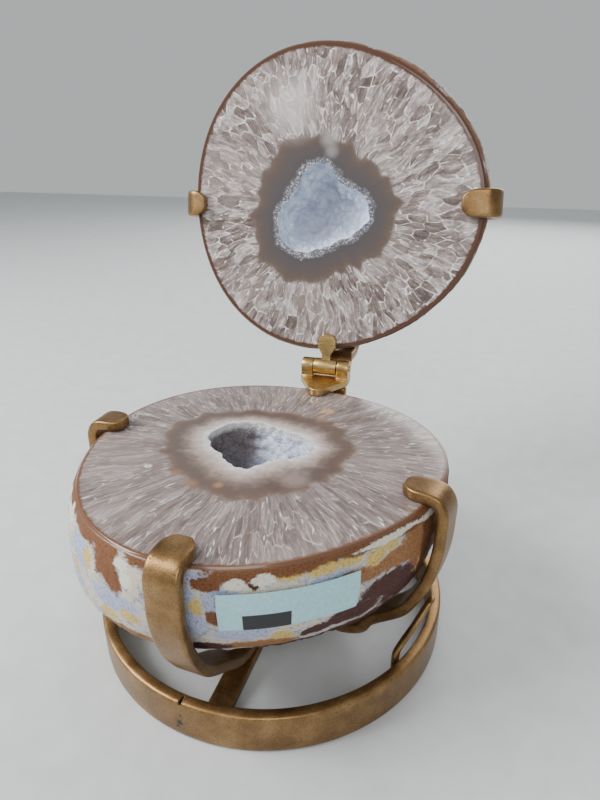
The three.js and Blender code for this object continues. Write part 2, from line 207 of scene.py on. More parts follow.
def skin_radius(stone, angle, depth):
    """The distance from the stone's own centre to its skin."""
    swell = sum(value_at(heights, depth)
                * np.maximum(0, np.cos(angle - math.radians(towards))) ** sharpness
                for towards, sharpness, heights in stone["swells"])
    return value_at(stone["profile"], depth) * wavy(stone, angle) + swell


def ripple(angle, lobes, height, seed):
    """A jagged line round a circle: waves with random heights and turns."""
    draw = np.random.default_rng(seed)
    total = sum(draw.normal() * np.cos(lobe * angle + draw.uniform(0, math.tau))
                for lobe in lobes)
    return height * total / math.sqrt(len(lobes))


print("lower rim at the hinge side:", round(float(skin_radius(lower_stone, math.pi / 2, 0)), 1))

# %% [markdown]
# ## Pressing a stone out of a ball
#
# A ball has rings from pole to pole, and so has a geode: the first rings line the hollow, the next
# ones spread over the cut face, and the rest run down the skin to the foot. So each ring of a fine
# ball is moved to its place on the stone, as clay is pressed into a mould. This keeps one closed
# skin with even faces, which a boolean cut would not. Each vertex also notes where it lies, and
# the materials read these notes: "layer" is 0 to 1 in the hollow, 1 to 2 in the dark star round
# it, 2 to 3 in the crystals, and "rim_gap" is the distance from the rim, negative on the skin.

# %% Ball to stone
SEGMENTS = 360
RINGS = 200
HOLLOW_RINGS = 46
FACE_RINGS = 104


def along_profile(stone, share):
    """The depth at a share of the way down the skin, evenly spaced by length."""
    depth, radius = (np.array(row, float) for row in zip(*stone["profile"]))
    length = np.concatenate([[0], np.cumsum(np.hypot(np.diff(depth),
                                                     np.diff(radius) * stone["radius"]))])
    return np.interp(share * length[-1], length, depth)


def press_stone(name, stone):
    """Presses a ball into a half geode and returns it with its layer and rim_gap notes."""
    deselect()
    bpy.ops.mesh.primitive_uv_sphere_add(segments=SEGMENTS, ring_count=RINGS, radius=1)
    ball = bpy.context.object
    ball.name = name
    flat = np.empty(len(ball.data.vertices) * 3)
    ball.data.vertices.foreach_get("co", flat)
    x, y, z = flat.reshape(-1, 3).T
    angle = np.arctan2(y, x)
    ring = np.round(np.arccos(np.clip(-stone["side"] * z, -1, 1)) / math.pi * RINGS)
    facing = np.stack([np.cos(angle), np.sin(angle)])

    hollow = stone["hollow"]
    in_hollow = np.clip(ring / HOLLOW_RINGS, 0, 1)
    jagged = ripple(angle, range(5, 30, 2), 0.55, 3) * in_hollow ** 6
    lip_radius = wavy(hollow, angle) + jagged
    lip = np.array(hollow["centre"])[:, None] + lip_radius * facing
    inside = np.array(hollow["centre"])[:, None] + lip_radius * np.sin(in_hollow * math.pi / 2) * facing
    sunk = hollow["depth"] * np.cos(in_hollow * math.pi / 2)

    on_face = np.clip((ring - HOLLOW_RINGS) / (FACE_RINGS - HOLLOW_RINGS), 0, 1)
    rim = STONE_CENTRE[:, None] + skin_radius(stone, angle, 0) * facing
    width = np.hypot(*(rim - lip))
    face = lip + (rim - lip) * on_face

    on_skin = np.clip((ring - FACE_RINGS) / (RINGS - FACE_RINGS), 0, 1)
    depth = along_profile(stone, on_skin)
    skin = STONE_CENTRE[:, None] + skin_radius(stone, angle, depth) * facing

    plan = np.where(ring <= HOLLOW_RINGS, inside, np.where(ring <= FACE_RINGS, face, skin))
    below = np.where(ring <= HOLLOW_RINGS, sunk, depth)
    height = stone["face"] + stone["side"] * below
    ball.data.vertices.foreach_set("co", (np.stack([*plan, height], 1) * MM).ravel())

    star = stone["star"]
    from_star = plan - np.array(star["centre"])[:, None]
    turn = np.arctan2(from_star[1], from_star[0])
    uneven = turn + 0.1 * np.cos(3 * turn + 1) + 0.06 * np.cos(5 * turn)
    points = star["tooth"] * (1 - 2 * np.abs(np.sin(star["teeth"] * uneven / 2)))
    uneven_edge = ripple(turn, range(6, 26, 3), 1.2, 5)
    to_edge = wavy(star, turn) + points + uneven_edge - np.hypot(*from_star)
    from_lip = width * on_face
    to_rim = width * (1 - on_face)
    in_star = 1 + from_lip / np.maximum(from_lip + to_edge, 0.01)
    in_crystals = 2 - to_edge / np.maximum(to_rim - to_edge, 0.01)
    layer = np.where(ring <= HOLLOW_RINGS, in_hollow, np.where(to_edge > 0, in_star, in_crystals))
    layer = np.where(ring > FACE_RINGS, 3, layer)
    rim_gap = np.where(ring > FACE_RINGS, -depth, to_rim)
    note(ball, "layer", layer)
    note(ball, "rim_gap", rim_gap)
    return ball, angle, depth * (ring > FACE_RINGS), in_hollow, ring


def note(thing, name, values):
    """Writes one number per vertex as an attribute that a material can read."""
    attribute = thing.data.attributes.new(name, "FLOAT", "POINT")
    attribute.data.foreach_set("value", np.ascontiguousarray(values, np.float32))


# %% [markdown]
# ## Rough skin and crystal lining
#
# The outside of a geode is a rough rind, and the hollow is lined with knobs of tiny crystals.
# Both are relief, so they are made with Displace modifiers: soft clouds for the rind and a cell
# pattern for the knobs. A vertex group keeps each one off the polished face.

# %% Relief
def weigh(thing, name, values):
    """Makes a vertex group from one weight per vertex, in twenty steps."""
    group = thing.vertex_groups.new(name=name)
    steps = np.round(np.clip(values, 0, 1) * 20).astype(int)
    for step in range(1, 21):
        group.add([int(i) for i in np.flatnonzero(steps == step)], step / 20, "REPLACE")


def displace(thing, group, pattern, size, height, middle):
    """Moves a vertex group in and out by a texture, and applies it."""
    texture = bpy.data.textures.new(group + "_" + pattern.lower(), pattern)
    texture.noise_scale = size * MM
    if pattern == "CLOUDS":
        texture.noise_depth = 4
    modifier = thing.modifiers.new(group, "DISPLACE")
    modifier.texture = texture
    modifier.texture_coords = "LOCAL"
    modifier.vertex_group = group
    modifier.strength = height * MM
    modifier.mid_level = middle
    bpy.context.view_layer.objects.active = thing
    bpy.ops.object.modifier_apply(modifier=modifier.name)


def smooth_group(thing, group, times):
    """Evens out the creases that the profile's straight stretches leave."""
    modifier = thing.modifiers.new(group, "SMOOTH")
    modifier.vertex_group = group
    modifier.factor = 0.5
    modifier.iterations = times
    bpy.context.view_layer.objects.active = thing
    bpy.ops.object.modifier_apply(modifier=modifier.name)


def finish_relief(thing, depth, in_hollow, ring):
    """Rough rind outside, knobbly crystals inside, a crisp rim between."""
    weigh(thing, "rind", (depth - 0.8) / 3)
    weigh(thing, "lining", np.where(ring <= HOLLOW_RINGS, (1.02 - in_hollow) * 8, 0))
    smooth_group(thing, "rind", 30)
    displace(thing, "rind", "CLOUDS", 9, 1.5, 0.62)
    displace(thing, "rind", "CLOUDS", 2.2, 0.7, 0.6)
    displace(thing, "lining", "VORONOI", 3.2, -2.2, 0.35)
    displace(thing, "lining", "CLOUDS", 1.1, 0.8, 0.5)
    thing.select_set(True)
    bpy.ops.object.shade_smooth_by_angle(angle=math.radians(38))


# %% Patches on the skin
MEAN_RADIUS = 68


def patches(angle, depth, spots):
    """How deep a point lies in any of some oval spots: (degrees, depth, half width, half height)."""
    reach = np.zeros_like(angle)
    for degrees, down, half_width, half_height in spots:
        turn = (angle - math.radians(degrees) + math.pi) % math.tau - math.pi
        reach = np.maximum(reach, 1 - np.hypot(turn * MEAN_RADIUS / half_width,
                                             (depth - down) / half_height))
    return np.clip(reach, 0, 1)


# %% Lower half
lower_half, angle, depth, in_hollow, ring = press_stone("lower_geode_half_fine", lower_stone)
lower_skin = {
    "tan": [(-16, 12, 17, 17), (-26, 12, 15, 6), (-50, 12, 16, 5), (-38, 13, 13, 5),
            (-70, 38, 20, 7), (0, 20, 20, 18), (60, 24, 40, 20), (120, 36, 30, 14),
            (-95, 26, 5, 9), (-112, 40, 16, 8)],
    "caramel": [(-111, 4, 9, 12), (-108, 11, 5, 9), (-122, 2, 14, 4.5), (-140, 1, 20, 4),
                (-95, 1, 14, 5), (-82, 5.5, 6, 3.4), (-74, 2, 14, 4.4), (-60, 1.4, 18, 4.6),
                (-40, 1.2, 20, 4.2), (-20, 2, 18, 4.5), (0, 3, 25, 6), (25, 3, 30, 5),
                (60, 3, 40, 6), (100, 3, 40, 5), (140, 3, 40, 6), (175, 2, 30, 5),
                (-13, 14, 5, 22), (-80.8, 18, 3, 5), (70, 30, 30, 12), (150, 34, 24, 9)],
    "lavender": [(-124, 11, 9, 8), (-110, 21, 14, 6), (-84, 4, 5, 3.4), (-88, 12, 6, 7),
                 (-78, 12, 8, 8), (-74, 27, 13, 5.5), (-86, 22, 6, 8), (-26, 18, 8, 1.8),
                 (-50, 8, 9, 2.2), (-135, 26, 16, 8), (40, 14, 26, 8),
                 (115, 18, 30, 9), (165, 14, 22, 9), (90, 40, 24, 7)],
    "yellow": [(-119, 11, 3.4, 4.6), (-105, 26, 5, 3.6), (-113, 29, 5, 3.4), (-84.8, 14, 2.6, 5),
               (-61.5, 4, 7, 3), (-52, 4.4, 8, 3.6), (-44, 4.5, 6, 3.6), (-35.8, 7.2, 5.5, 4.4),
               (-30, 5.5, 4, 2.6), (-62.6, 32, 6, 4), (-15, 22, 2.4, 7), (-128, 20, 4, 5),
               (20, 22, 12, 6), (130, 28, 14, 7), (80, 24, 9, 6)],
    "dark_red": [(-29, 23, 17, 8), (-20, 30, 18, 9), (-40, 30, 16, 7), (-52, 33, 9, 5),
                 (-30, 42, 30, 8), (-86, 38, 12, 6), (-60, 46, 26, 7), (5, 36, 16, 10),
                 (110, 48, 30, 8), (-70, 6, 2.4, 2)],
    "crumbs": [(-105, 4.5, 3.6, 2.6), (-103.5, 10, 2.6, 4.4), (-75, 5.6, 3.8, 3),
               (-67.7, 4.8, 4.6, 2.8), (-134, 5, 3, 5), (-140, 9, 3, 6), (-146, 6, 2.6, 5),
               (-30, 2.9, 20, 1.6), (-12, 4, 10, 1.8)],
}
for kind, spots in lower_skin.items():
    note(lower_half, kind, patches(angle, depth, spots) * (depth > 0))
finish_relief(lower_half, depth, in_hollow, ring)
print("lower half:", len(lower_half.data.polygons), "faces")

# %% [markdown]
# ## Opening the lid
#
# The lid is made where it lies when shut, because the two stones share their shape there. Then
# each of its pieces is turned back about the hinge, and the turn is applied so that the place is
# in the mesh.

# %% Lid helper
turn_about_hinge = (Matrix.Translation(HINGE * MM) @ Matrix.Rotation(-LID_OPEN, 4, "X")
                    @ Matrix.Translation(-HINGE * MM))


def open_lid(thing):
    """Turns a piece of the shut lid back about the hinge."""
    deselect()
    thing.select_set(True)
    bpy.context.view_layer.objects.active = thing
    thing.matrix_world = turn_about_hinge
    bpy.ops.object.transform_apply(location=True, rotation=True, scale=True)


# %% Upper half
upper_half, angle, depth, in_hollow, ring = press_stone("upper_geode_half_fine", upper_stone)
upper_skin = {
    "tan": [(30, 16, 30, 7), (120, 10, 26, 6), (260, 20, 30, 7), (340, 14, 24, 6)],
    "caramel": [(degrees, 2, 24, 5) for degrees in range(0, 360, 30)] + [(200, 22, 30, 8)],
    "lavender": [(80, 15, 26, 6), (150, 22, 22, 6), (230, 12, 20, 5), (310, 24, 24, 6)],
    "yellow": [(110, 22, 9, 5), (190, 13, 8, 4), (280, 18, 12, 4), (20, 18, 10, 5)],
    "dark_red": [(60, 25, 15, 5), (250, 26, 20, 5), (340, 27, 15, 5)],
    "crumbs": [(degrees, 7, 7, 2.4) for degrees in range(10, 360, 45)],
}
for kind, spots in upper_skin.items():
    note(upper_half, kind, patches(angle, depth, spots) * (depth > 0))
finish_relief(upper_half, depth, in_hollow, ring)
open_lid(upper_half)
print("upper half:", len(upper_half.data.polygons), "faces")

# %% [markdown]
# ## Agate
#
# Agate and quartz are the same mineral, silica, with an IOR of 1.54. Sawn and polished, the cut
# face is glossy and a little see-through: quartz crystals fan out from a dark star of banded
# agate, and their edges catch the light as white lines. The crystals are wedges about 2 to 3 mm
# wide at the middle of the face and 8 to 13 mm long. So the pattern is drawn on polar
# coordinates: one part of the coordinate runs round the hollow and the other outwards, which
# stretches the cells of a Voronoi texture along the rays. The rind outside is matt, with patches
# of tan, caramel, yellow, lavender and dark red on cream.

# %% Coordinates on a stone
def stone_coordinates(tree, is_lid):
    """Millimetres on the shut stone. A lid's own coordinates are first turned back."""
    base = add(tree, "ShaderNodeTexCoord").outputs["Object"]
    if not is_lid:
        return add(tree, "ShaderNodeMapping", {"Vector": base, "Scale": (1000, 1000, 1000)}).outputs[0]
    back = Matrix.Rotation(LID_OPEN, 3, "X")
    return add(tree, "ShaderNodeMapping", {
        "Vector": base, "Scale": (1000, 1000, 1000), "Rotation": (LID_OPEN, 0, 0),
        "Location": HINGE - back @ HINGE}).outputs[0]


def rays(tree, place, centre, around, length, bend):
    """Coordinates whose unit cell is a wedge: around cells in a radian, each length mm long."""
    wobble = add(tree, "ShaderNodeTexNoise", {"Vector": place, "Scale": 0.05, "Detail": 1.0})
    shift = add(tree, "ShaderNodeVectorMath", {0: wobble.outputs["Color"], 1: (0.5, 0.5, 0.5)},
                operation="SUBTRACT")
    shift = add(tree, "ShaderNodeVectorMath", {0: shift.outputs[0], "Scale": bend},
                operation="SCALE")
    moved = add(tree, "ShaderNodeVectorMath", {0: place, 1: shift.outputs[0]}, operation="ADD")
    flat = add(tree, "ShaderNodeVectorMath",
               {0: moved.outputs[0], 1: (1, 1, 0), 2: (-centre[0], -centre[1], 0)},
               operation="MULTIPLY_ADD")
    facing = add(tree, "ShaderNodeVectorMath", {0: flat.outputs[0]}, operation="NORMALIZE")
    turned = add(tree, "ShaderNodeVectorMath", {0: facing.outputs[0], "Scale": around},
                 operation="SCALE")
    reach = add(tree, "ShaderNodeVectorMath", {0: flat.outputs[0]}, operation="LENGTH")
    outwards = add(tree, "ShaderNodeMath", {0: reach.outputs["Value"], 1: length},
                   operation="DIVIDE")
    lifted = add(tree, "ShaderNodeCombineXYZ", {"Z": outwards.outputs[0]})
    return add(tree, "ShaderNodeVectorMath", {0: turned.outputs[0], 1: lifted.outputs[0]},
               operation="ADD").outputs[0]


def blend(tree, factor, first, second, kind="MIX"):
    """Mixes two colours: all first at 0, all second at 1."""
    return add(tree, "ShaderNodeMix", {0: factor, 6: first, 7: second}, data_type="RGBA",
               blend_type=kind).outputs[2]


def between(tree, value, low, high, to_low=0.0, to_high=1.0):
    """Maps low to high onto 0 to 1, and holds the ends."""
    return add(tree, "ShaderNodeMapRange", {"Value": value, 1: low, 2: high, 3: to_low, 4: to_high},
               interpolation_type="SMOOTHSTEP").outputs[0]


# %% Crystals on a cut face
def crystals(tree, place, look):
    """Quartz wedges with grey hearts, white edges and bright needles."""
    centre = look["centre"]
    wedges = rays(tree, place, centre, look["around"], look["length"], look["bend"])
    cells = add(tree, "ShaderNodeTexVoronoi", {"Vector": wedges, "Scale": 1.0, "Randomness": 1.0})
    brightness = add(tree, "ShaderNodeSeparateColor", {"Color": cells.outputs["Color"]})
    inner = add(tree, "ShaderNodeTexNoise",
                {"Vector": rays(tree, place, centre, look["around"] * 2, look["length"] * 0.8,
                                look["bend"]), "Scale": 1.0, "Detail": 6.0, "Roughness": 0.78})
    mixed = add(tree, "ShaderNodeMath", {0: brightness.outputs[0], 1: look["contrast"],
                                         2: inner.outputs["Fac"]}, operation="MULTIPLY_ADD")
    heart = between(tree, mixed.outputs[0], 0.36, 0.68 + look["contrast"])
    body = add(tree, "ShaderNodeValToRGB", {"Fac": heart}, look["hearts"]).outputs["Color"]
    edges = add(tree, "ShaderNodeTexVoronoi", {"Vector": wedges, "Scale": 1.0, "Randomness": 1.0},
                feature="DISTANCE_TO_EDGE")
    gate = add(tree, "ShaderNodeTexNoise", {"Vector": place, "Scale": 0.3, "Detail": 4.0})
    thin = between(tree, edges.outputs["Distance"], 0.0, look["edge"], 1.0, 0.0)
    lit = between(tree, gate.outputs["Fac"], 0.42, 0.64, 0.0, look["edge_light"])
    factor = add(tree, "ShaderNodeMath", {0: thin, 1: lit}, operation="MULTIPLY").outputs[0]
    body = blend(tree, factor, body, colour("#f2eeee"))
    fine = rays(tree, place, centre, look["around"] * 3.4, look["length"] * 0.42, look["bend"] * 3)
    needles = add(tree, "ShaderNodeTexVoronoi", {"Vector": fine, "Scale": 1.0, "Randomness": 1.0})
    chosen = add(tree, "ShaderNodeSeparateColor", {"Color": needles.outputs["Color"]})
    rare = between(tree, chosen.outputs[1], look["rare"], look["rare"] + 0.04)
    slim = between(tree, needles.outputs["Distance"], 0.16, 0.4, 0.9, 0.0)
    spark = add(tree, "ShaderNodeMath", {0: rare, 1: slim}, operation="MULTIPLY").outputs[0]
    return blend(tree, spark, body, colour("#f6f3f2"))


# %% Cut face with its star and rim
def cut_face(tree, place, layer, rim_gap, look):
    """Bands from the lip of the hollow to the rim, over the crystals, with a few soft marks."""
    frost = add(tree, "ShaderNodeTexNoise", {"Vector": place, "Scale": 0.45, "Detail": 5.0,
                                             "Roughness": 0.6})
    uneven = add(tree, "ShaderNodeMath", {0: frost.outputs["Fac"], 1: 0.34, 2: -0.17},
                 operation="MULTIPLY_ADD").outputs[0]
    moved = add(tree, "ShaderNodeMath", {0: layer, 1: uneven}, operation="ADD").outputs[0]
    in_star = add(tree, "ShaderNodeMath", {0: moved, 1: 1.0}, operation="SUBTRACT").outputs[0]
    bands = add(tree, "ShaderNodeValToRGB", {"Fac": in_star}, look["bands"]).outputs["Color"]
    sugar = add(tree, "ShaderNodeTexVoronoi", {"Vector": place, "Scale": 1.9})
    sugar_tone = add(tree, "ShaderNodeSeparateColor", {"Color": sugar.outputs["Color"]}).outputs[0]
    near_lip = between(tree, in_star, look["sugar"] * 0.5, look["sugar"], 0.85, 0.0)
    sugared = add(tree, "ShaderNodeValToRGB", {"Fac": sugar_tone}, look["grains"]).outputs["Color"]
    bands = blend(tree, near_lip, bands, sugared)
    quartz = crystals(tree, place, look)
    cloud = add(tree, "ShaderNodeTexNoise", {"Vector": place, "Scale": 0.035, "Detail": 3.0})
    milk = between(tree, cloud.outputs["Fac"], 0.46, 0.68, 0.0, look["milk"])
    quartz = blend(tree, milk, quartz, colour(look["milk_colour"]))
    edge = add(tree, "ShaderNodeMath", {0: frost.outputs["Fac"], 1: look["fray"], 2: layer},
               operation="MULTIPLY_ADD").outputs[0]
    crisp = between(tree, edge, 1.97 + look["fray"] / 2, 2.05 + look["fray"] / 2)
    face = blend(tree, crisp, bands, quartz)
    for x, y, radius, softness, code in look["marks"]:
        gap = add(tree, "ShaderNodeVectorMath", {0: place, 1: (x, y, look["level"])},
                  operation="DISTANCE")
        ragged = add(tree, "ShaderNodeMath", {0: frost.outputs["Fac"], 1: radius,
                                              2: gap.outputs["Value"]}, operation="MULTIPLY_ADD")
        there = between(tree, ragged.outputs[0], radius, radius * (1 + softness), 0.7, 0.0)
        face = blend(tree, there, face, colour(code))
    band = add(tree, "ShaderNodeMath", {0: frost.outputs["Fac"], 1: -2.2, 2: rim_gap},
               operation="MULTIPLY_ADD").outputs[0]
    at_rim = between(tree, band, look["rim"] - 1.9, look["rim"] - 0.9, 1.0, 0.0)
    return blend(tree, at_rim, face, colour(look["rim_colour"]))


# %% Lining of the hollow
def crystal_lining(tree, place, layer, look):
    """Pale knobs of tiny crystals, with painted glints and painted shade between the knobs, deep down
    and on the left wall.
    """
    # The knobs are light at their middles and darker towards the gaps between them: painted shade.
    knobs = add(tree, "ShaderNodeTexVoronoi", {"Vector": place, "Scale": 0.32}, feature="SMOOTH_F1")
    tone = add(tree, "ShaderNodeValToRGB", {"Fac": knobs.outputs["Distance"]}, look["lining"])
    sugar = add(tree, "ShaderNodeTexVoronoi", {"Vector": place, "Scale": 1.6})
    bright = add(tree, "ShaderNodeSeparateColor", {"Color": sugar.outputs["Color"]}).outputs[2]
    glint = between(tree, bright, 0.8, 0.95, 0.0, 0.55)
    lined = blend(tree, glint, tone.outputs["Color"], colour("#e9edf2"))
    across = add(tree, "ShaderNodeSeparateXYZ", {"Vector": place}).outputs["X"]
    # Painted shade, brownish, on the left wall of the hollow, where X lies low.
    side_shaded = between(tree, across, look["dark_patch"][0], look["dark_patch"][1], look["side_shade_strength"], 0.0)
    lined = blend(tree, side_shaded, lined, colour("#4f4038"))
    # Painted shade: greyer and darker towards the bottom of the hollow.
    deep = between(tree, layer, 0.3, 0.8, look["deep"], 0.0)
    lined = blend(tree, deep, lined, colour("#7b7d8e"))
    lip = between(tree, layer, 0.86, 0.98)
    return blend(tree, lip, lined, colour(look["lip"]))


# %% Rind
def rind(tree, place):
    """Cream chalky skin with patches of colour, brown specks and shallow grey pits."""
    rough = add(tree, "ShaderNodeTexNoise", {"Vector": place, "Scale": 0.3, "Detail": 9.0,
                                             "Roughness": 0.74})
    grit = add(tree, "ShaderNodeTexNoise", {"Vector": place, "Scale": 1.3, "Detail": 4.0,
                                            "Roughness": 0.75})
    skin = add(tree, "ShaderNodeValToRGB", {"Fac": rough.outputs["Fac"]},
               [(0.3, "#77727c"), (0.42, "#a8a5ab"), (0.5, "#d0cbc0"), (0.6, "#d6c9ab"),
                (0.72, "#a1845c")]).outputs["Color"]
    finishes = {
        "tan": [(0.3, "#5c3618"), (0.5, "#936133"), (0.7, "#bb8f5e")],
        "lavender": [(0.3, "#74799c"), (0.5, "#a5adcb"), (0.7, "#e2e5ec")],
        "dark_red": [(0.3, "#1c0604"), (0.5, "#41150b"), (0.72, "#6b3320")],
        "yellow": [(0.3, "#96702a"), (0.5, "#d1b25e"), (0.7, "#efe2b0")],
        "caramel": [(0.3, "#482509"), (0.5, "#704018"), (0.72, "#93622f")],
        "crumbs": [(0.3, "#b3a992"), (0.5, "#e2dccd"), (0.7, "#f7f4ea")],
    }
    for kind, stops in finishes.items():
        spot = add(tree, "ShaderNodeAttribute", attribute_name=kind).outputs["Fac"]
        torn = add(tree, "ShaderNodeMath", {0: rough.outputs["Fac"], 1: 1.35, 2: spot},
                   operation="MULTIPLY_ADD").outputs[0]
        torn = add(tree, "ShaderNodeMath", {0: grit.outputs["Fac"], 1: 0.55, 2: torn},
                   operation="MULTIPLY_ADD").outputs[0]
        mask = between(tree, torn, 1.1, 1.3)
        there = between(tree, spot, 0.02, 0.14)
        mask = add(tree, "ShaderNodeMath", {0: mask, 1: there}, operation="MULTIPLY").outputs[0]
        shade = add(tree, "ShaderNodeValToRGB", {"Fac": grit.outputs["Fac"]}, stops)
        skin = blend(tree, mask, skin, shade.outputs["Color"])
    specks = between(tree, grit.outputs["Fac"], 0.55, 0.68, 0.0, 0.65)
    skin = blend(tree, specks, skin, colour("#7d5c42"), "MULTIPLY")
    pits = between(tree, grit.outputs["Fac"], 0.32, 0.42, 0.55, 0.0)
    skin = blend(tree, pits, skin, colour("#8f93ad"), "MULTIPLY")
    return skin, rough.outputs["Fac"], grit.outputs["Fac"]


# %% Agate material
def agate(name, look, is_lid=False):
    """Polished face, crystal lining and rough rind in one material, told apart by the notes."""
    made, tree, shader = new_material(name)
    place = stone_coordinates(tree, is_lid)
    layer = add(tree, "ShaderNodeAttribute", attribute_name="layer").outputs["Fac"]
    rim_gap = add(tree, "ShaderNodeAttribute", attribute_name="rim_gap").outputs["Fac"]
    face = cut_face(tree, place, layer, rim_gap, look)
    lined = crystal_lining(tree, place, layer, look)
    skin, rough, grit = rind(tree, place)
    out_of_hollow = between(tree, layer, 0.985, 1.0)
    on_skin = between(tree, rim_gap, -1.1, -0.5, 1.0, 0.0)
    shade = blend(tree, out_of_hollow, lined, face)
    shade = blend(tree, on_skin, shade, skin)
    tree.links.new(shade, shader.inputs["Base Color"])
    gloss = between(tree, out_of_hollow, 0.0, 1.0, 0.38, 0.16)
    gloss = add(tree, "ShaderNodeMix", {0: on_skin, 2: gloss, 3: 0.72}).outputs[0]
    tree.links.new(gloss, shader.inputs["Roughness"])
    knob_height = add(tree, "ShaderNodeTexVoronoi", {"Vector": place, "Scale": 1.4})
    in_hollow = add(tree, "ShaderNodeMath", {0: 1.0, 1: out_of_hollow}, operation="SUBTRACT")
    crystals_up = add(tree, "ShaderNodeMath", {0: knob_height.outputs["Distance"],
                                               1: in_hollow.outputs[0]}, operation="MULTIPLY")
    relief = add(tree, "ShaderNodeMath", {0: rough, 1: 0.6, 2: grit}, operation="MULTIPLY_ADD")
    skin_up = add(tree, "ShaderNodeMath", {0: relief.outputs[0], 1: on_skin,
                                           2: crystals_up.outputs[0]}, operation="MULTIPLY_ADD")
    bump = add(tree, "ShaderNodeBump", {"Height": skin_up.outputs[0], "Distance": 0.6 * MM,
                                        "Strength": 0.8})
    tree.links.new(bump.outputs["Normal"], shader.inputs["Normal"])
    shader.inputs["IOR"].default_value = 1.54
    return made


# %% Looks of the two stones
# A mark is (x, y, radius, softness, colour), in millimetres on the shut stone.
lower_look = {
    "centre": (-5, 3), "around": 24, "length": 13, "bend": 3, "edge": 0.06, "edge_light": 0.4,
    "contrast": 0.16,
    "rare": 0.88, "rim": 1.2, "rim_colour": "#6b4832", "milk": 0.3, "milk_colour": "#a1948f",
    "deep": 0.35,
    "hearts": [(0.0, "#62544f"), (0.35, "#7b6d69"), (0.65, "#8f827e"), (1.0, "#b5aaa7")],
    "bands": [(0.0, "#e4e0de"), (0.07, "#d2cac6"), (0.2, "#bcaea8"), (0.36, "#a08d84"),
              (0.5, "#7a6a62"), (0.68, "#5f514a"), (0.84, "#62524a"), (0.94, "#6f5c50"),
              (1.0, "#7c6e67")],
    "sugar": 0.1, "grains": [(0.0, "#b9b4b2"), (1.0, "#f1efee")], "fray": 0.14,
    "lining": [(0.0, "#eceffa"), (0.45, "#c6cce0"), (0.9, "#9096ac")], "level": LOWER_FACE,
    # The lining's dark patch at low X is painted shade on the left wall of the hollow.
    "dark_patch": (-17, -7), "side_shade_strength": 0.9, "lip": "#dfdddc",
    "marks": [(12, 40.8, 3.6, 0.4, "#c79b7a"), (-18, -30.1, 1, 3.4, "#946f56"),
              (-8.4, -28.1, 0.8, 3, "#a57f62"), (-27, -25, 1, 3.4, "#8a6850"),
              (-38.7, -24.2, 1.9, 0.4, "#f4f2ee"), (-38.7, -24.2, 0.9, 0.4, "#8f8683"),
              (15.5, -16.4, 4, 1.4, "#98857c")],
}
upper_look = {
    "centre": (-4.5, 1), "around": 15, "length": 8, "bend": 7, "edge": 0.06, "edge_light": 0.9,
    "contrast": 0.22,
    "rare": 0.86, "rim": 2.0, "rim_colour": "#4f3324", "milk": 0.3, "milk_colour": "#b3a8a5",
    "hearts": [(0.0, "#4f4340"), (0.3, "#73655f"), (0.6, "#948885"), (1.0, "#cfc8c6")],
    "bands": [(0.0, "#8f96a3"), (0.08, "#686870"), (0.25, "#4c4746"), (0.5, "#50494a"),
              (0.75, "#564b46"), (0.9, "#5d4f47"), (1.0, "#655952")],
    "sugar": 0.26, "grains": [(0.0, "#232d4c"), (0.1, "#4d4e56"), (0.7, "#77757b"), (1.0, "#c9ccd2")],
    "lining": [(0.0, "#fafcff"), (0.4, "#d3e0f6"), (0.9, "#9ba6c0")], "level": UPPER_FACE,
    "deep": 0.55,
    "dark_patch": (-40, -30), "side_shade_strength": 0.0, "lip": "#e3eaf2", "fray": 0.1,
    "marks": [(-3.8, -30, 1.2, 4.5, "#a09a98"), (-2.4, -24.5, 1, 4, "#928c8a"),
              (-22, -44, 5, 3.4, "#c9c1bf")],
}
lower_half.data.materials.append(agate("polished_agate_lower", lower_look))
upper_half.data.materials.append(agate("polished_agate_upper", upper_look, is_lid=True))
print("agate ready")

# %% [markdown]
# ## Gold painted steel and brass
#
# The straps are mild steel bar, bent cold and welded, then sprayed with an antique gold paint.
# The paint is satin, with a fine sandy grain and darker worn spots. The hinge is solid brass,
# brushed, which is brighter and keeps fine lines along its barrel.

